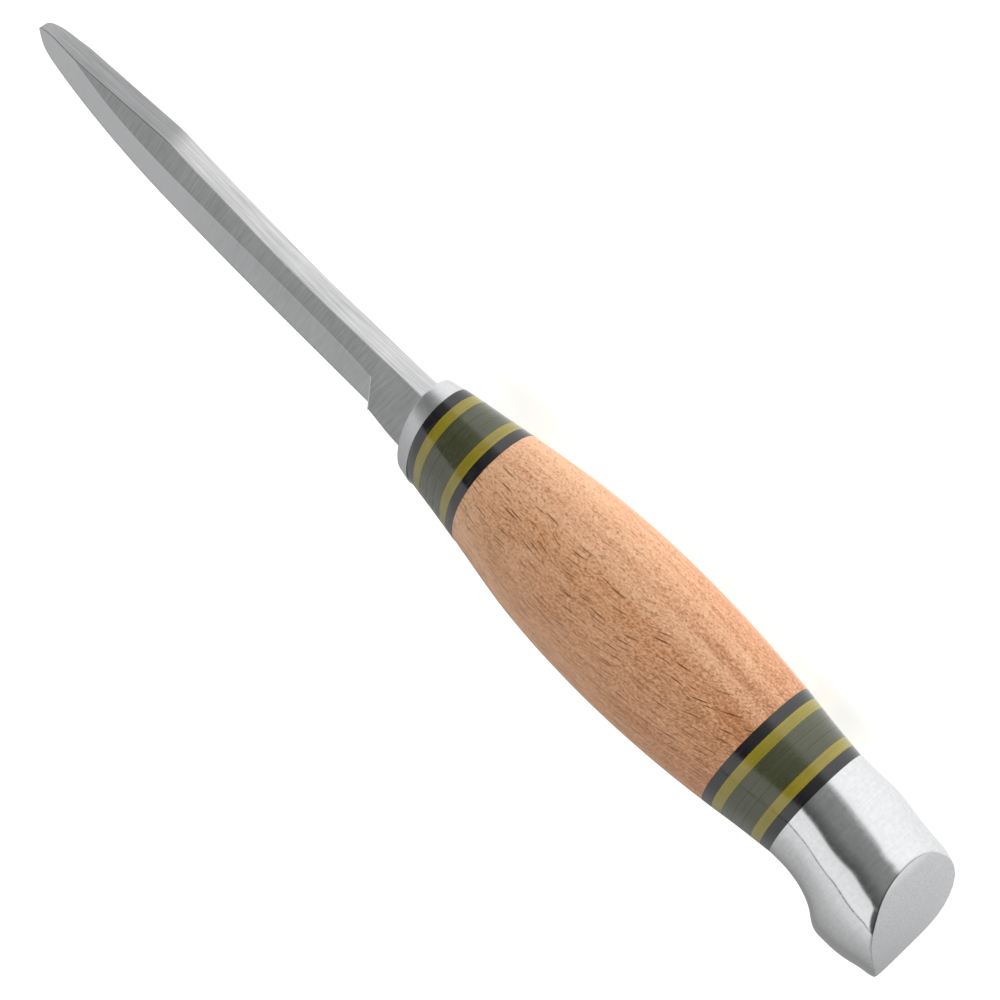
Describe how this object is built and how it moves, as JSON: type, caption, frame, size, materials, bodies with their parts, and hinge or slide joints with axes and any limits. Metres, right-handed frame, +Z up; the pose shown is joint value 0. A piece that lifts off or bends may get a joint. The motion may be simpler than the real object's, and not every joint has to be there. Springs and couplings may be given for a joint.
{
  "type": "wood carving knife",
  "caption": "Fixed-blade wood carving knife with a rounded tip, beech grip, coloured fibre spacers, aluminium bolster and a hooked aluminium pommel.",
  "frame": {"origin": "under the middle of the knife's box, at the height of the surface that it lies on", "axes": "the knife lies on its right side: +X from the pommel to the tip, +Y towards the cutting edge, +Z up from the left face"},
  "size_m": [0.201, 0.038, 0.0248],
  "materials": {
    "ground_steel": "belt-ground satin steel",
    "satin_aluminium": "satin-polished cast aluminium",
    "beech": "steamed beech, sanded and oiled",
    "fibre_black": "vulcanised fibre, semi-gloss",
    "fibre_olive": "vulcanised fibre, semi-gloss",
    "fibre_green": "vulcanised fibre, semi-gloss",
    "stud_steel": "turned steel"
  },
  "bodies": {
    "root": {"blade": "ground_steel", "bolster": "satin_aluminium", "spacer_front_1_black": "fibre_black", "spacer_front_2_olive": "fibre_olive", "spacer_front_3_green": "fibre_green", "spacer_front_4_green": "fibre_green", "spacer_front_5_green": "fibre_green", "spacer_front_6_olive": "fibre_olive", "spacer_front_7_black": "fibre_black", "spacer_rear_1_black": "fibre_black", "spacer_rear_2_olive": "fibre_olive", "spacer_rear_3_green": "fibre_green", "spacer_rear_4_green": "fibre_green", "spacer_rear_5_green": "fibre_green", "spacer_rear_6_olive": "fibre_olive", "spacer_rear_7_black": "fibre_black", "grip": "beech", "pommel": "satin_aluminium", "tang_stud": "stud_steel"}
  },
  "joints": []
}
